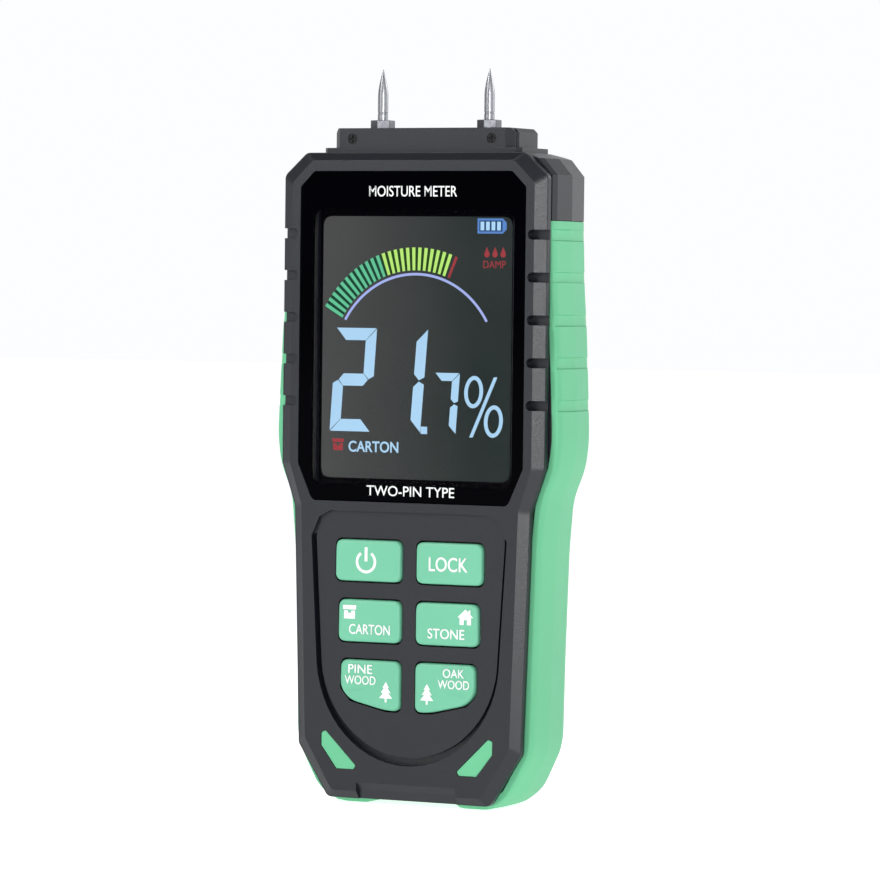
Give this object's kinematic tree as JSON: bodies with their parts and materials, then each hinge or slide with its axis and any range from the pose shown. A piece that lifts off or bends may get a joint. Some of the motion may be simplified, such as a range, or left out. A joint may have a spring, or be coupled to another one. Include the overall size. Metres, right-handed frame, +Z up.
{
  "type": "moisture meter",
  "caption": "Handheld pin-type moisture meter: bevelled bezel with display window, keypad, waisted rubber boot, and a head block with sharp electrode pins.",
  "frame": {"origin": "centre of the bounding box in X and Y, at the underside of the boot's feet", "axes": "+Z up the meter towards the pins, -Y out of the front face, +X to the right as seen from the front"},
  "size_m": [0.0754, 0.029, 0.172],
  "materials": {
    "black_plastic": "fine spark-eroded texture, satin",
    "boot_rubber": "satin thermoplastic rubber",
    "window_acrylic": "polished",
    "tape_foam": "foam",
    "lcd_glass": "polished",
    "white_plastic": "satin",
    "connector_rubber": "matt",
    "board_laminate": "solder resist",
    "chip_plastic": "matt",
    "steel": "turned and plated",
    "brass": "turned",
    "dark_screw": "blackened",
    "mat_rubber": "matt silicone",
    "key_rubber": "satin silicone",
    "lead_red": "insulation",
    "lead_white": "insulation",
    "cell_jacket": "printed jacket"
  },
  "bodies": {
    "case": {"front_housing": "black_plastic", "rear_housing": "black_plastic", "pin_block": "black_plastic", "head_cover": "black_plastic", "rubber_boot": "boot_rubber", "corner_inlays": "boot_rubber", "display_window": "window_acrylic", "window_tape": "tape_foam", "lcd_panel": "lcd_glass", "lcd_backlight": "white_plastic", "lcd_connector": "connector_rubber", "main_board": "board_laminate", "controller_chip": "chip_plastic", "buzzer": "chip_plastic", "switch_domes": "steel", "keypad_mat": "mat_rubber", "cover_screws": "dark_screw", "left_pin": "steel", "right_pin": "steel", "left_nut": "steel", "right_nut": "steel", "left_socket": "brass", "right_socket": "brass", "left_lead": "lead_red", "right_lead": "lead_white", "battery_1": "cell_jacket", "battery_2": "cell_jacket", "battery_3": "cell_jacket", "battery_springs": "steel", "contact_plates": "steel", "housing_screws": "steel", "board_screws": "steel"},
    "battery_door": {"battery_door": "black_plastic"},
    "power_key": {"power_key": "key_rubber"},
    "hold_key": {"hold_key": "key_rubber"},
    "carton_key": {"carton_key": "key_rubber"},
    "masonry_key": {"masonry_key": "key_rubber"},
    "softwood_key": {"softwood_key": "key_rubber"},
    "hardwood_key": {"hardwood_key": "key_rubber"}
  },
  "joints": [
    {"name": "power_press", "type": "slide", "parent": "case", "child": "power_key", "axis": [0, 1, 0], "range_m": [0, 0.0008], "stiffness_N_per_m": 2500, "springref_m": -0.0002},
    {"name": "hold_press", "type": "slide", "parent": "case", "child": "hold_key", "axis": [0, 1, 0], "range_m": [0, 0.0008], "stiffness_N_per_m": 2500, "springref_m": -0.0002},
    {"name": "carton_press", "type": "slide", "parent": "case", "child": "carton_key", "axis": [0, 1, 0], "range_m": [0, 0.0008], "stiffness_N_per_m": 2500, "springref_m": -0.0002},
    {"name": "masonry_press", "type": "slide", "parent": "case", "child": "masonry_key", "axis": [0, 1, 0], "range_m": [0, 0.0008], "stiffness_N_per_m": 2500, "springref_m": -0.0002},
    {"name": "softwood_press", "type": "slide", "parent": "case", "child": "softwood_key", "axis": [0, 1, 0], "range_m": [0, 0.0008], "stiffness_N_per_m": 2500, "springref_m": -0.0002},
    {"name": "hardwood_press", "type": "slide", "parent": "case", "child": "hardwood_key", "axis": [0, 1, 0], "range_m": [0, 0.0008], "stiffness_N_per_m": 2500, "springref_m": -0.0002},
    {"name": "battery_door_lift", "type": "slide", "parent": "case", "child": "battery_door", "axis": [0, 1, 0], "range_m": [0, 0.03]}
  ]
}
